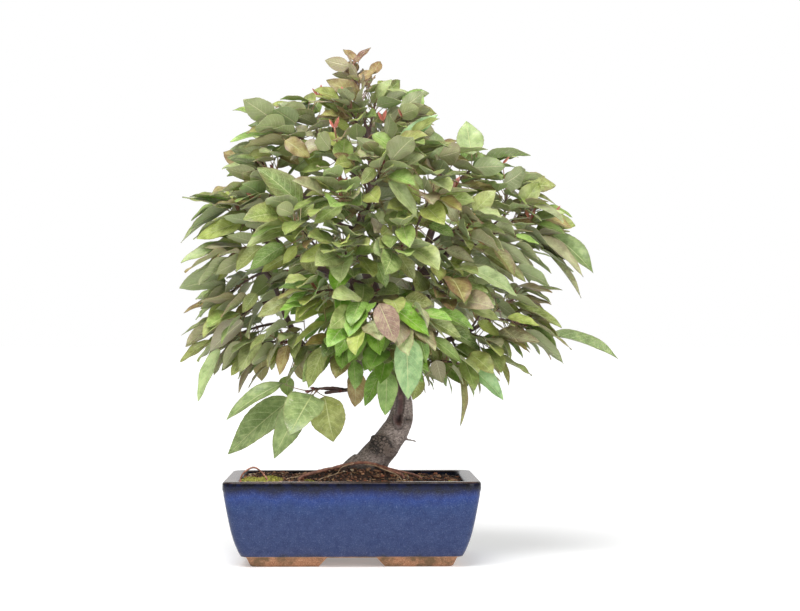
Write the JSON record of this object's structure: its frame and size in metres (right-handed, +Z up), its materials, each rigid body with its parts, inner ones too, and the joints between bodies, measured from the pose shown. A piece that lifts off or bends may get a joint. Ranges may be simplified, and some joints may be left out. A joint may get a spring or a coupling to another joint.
{
  "type": "potted bonsai tree",
  "caption": "Apple bonsai with a slanting, curving trunk and wide leafy crown, planted off-centre in a rectangular glazed pot on corner feet.",
  "frame": {"origin": "on the surface the pot stands on, under the middle of the whole object's bounding box", "axes": "+Z up, -Y towards the viewer of the picture, +X to the viewer's right along the pot's long side"},
  "size_m": [0.4634, 0.3526, 0.538],
  "materials": {
    "glazed_pot": "gloss",
    "soil_grit": "matte",
    "moss_green": "matte",
    "bark_grey": "matte",
    "root_brown": "matte",
    "drain_mesh": "matte",
    "leaf_olive": "satin",
    "leaf_bright": "satin",
    "leaf_bronze": "satin"
  },
  "bodies": {
    "root": {"drain_screen_left": "drain_mesh", "drain_screen_right": "drain_mesh", "moss_cushion": "moss_green", "pot": "glazed_pot", "root_arch": "root_brown", "soil": "soil_grit", "spray_apex": "leaf_bronze", "spray_apex_right": "leaf_olive", "spray_back_crown": "leaf_olive", "spray_back_crown_left": "leaf_olive", "spray_back_left_high": "leaf_olive", "spray_back_left_low": "leaf_olive", "spray_back_middle": "leaf_olive", "spray_back_middle_low": "leaf_olive", "spray_back_middle_right": "leaf_olive", "spray_back_right_high": "leaf_olive", "spray_back_right_low": "leaf_olive", "spray_crown_front": "leaf_olive", "spray_crown_front_left": "leaf_olive", "spray_crown_left": "leaf_olive", "spray_crown_left_back": "leaf_bronze", "spray_crown_left_tip": "leaf_olive", "spray_crown_middle": "leaf_olive", "spray_crown_right": "leaf_olive", "spray_front_centre": "leaf_olive", "spray_front_centre_right": "leaf_olive", "spray_front_hang_left": "leaf_olive", "spray_front_hang_right": "leaf_olive", "spray_front_high_left": "leaf_olive", "spray_front_high_right": "leaf_olive", "spray_front_left_low": "leaf_bright", "spray_front_left_side": "leaf_olive", "spray_front_low_left": "leaf_bright", "spray_front_low_right": "leaf_bright", "spray_front_right_low": "leaf_bright", "spray_front_right_side": "leaf_olive", "spray_left_high": "leaf_olive", "spray_left_low_front": "leaf_olive", "spray_left_low_hang": "leaf_bright", "spray_left_middle": "leaf_olive", "spray_left_skirt": "leaf_olive", "spray_left_skirt_front": "leaf_olive", "spray_left_tiers": "leaf_olive", "spray_left_tiers_low": "leaf_bronze", "spray_left_upper_front": "leaf_olive", "spray_left_wide": "leaf_bronze", "spray_right_crown": "leaf_olive", "spray_right_crown_back": "leaf_bronze", "spray_right_hanging": "leaf_olive", "spray_right_long": "leaf_olive", "spray_right_middle": "leaf_olive", "spray_right_shoulder": "leaf_olive", "spray_right_shoulder_low": "leaf_bronze", "spray_right_skirt": "leaf_olive", "spray_right_tiers": "leaf_olive", "spray_right_wide": "leaf_olive", "trunk_and_branches": "bark_grey"}
  },
  "joints": []
}
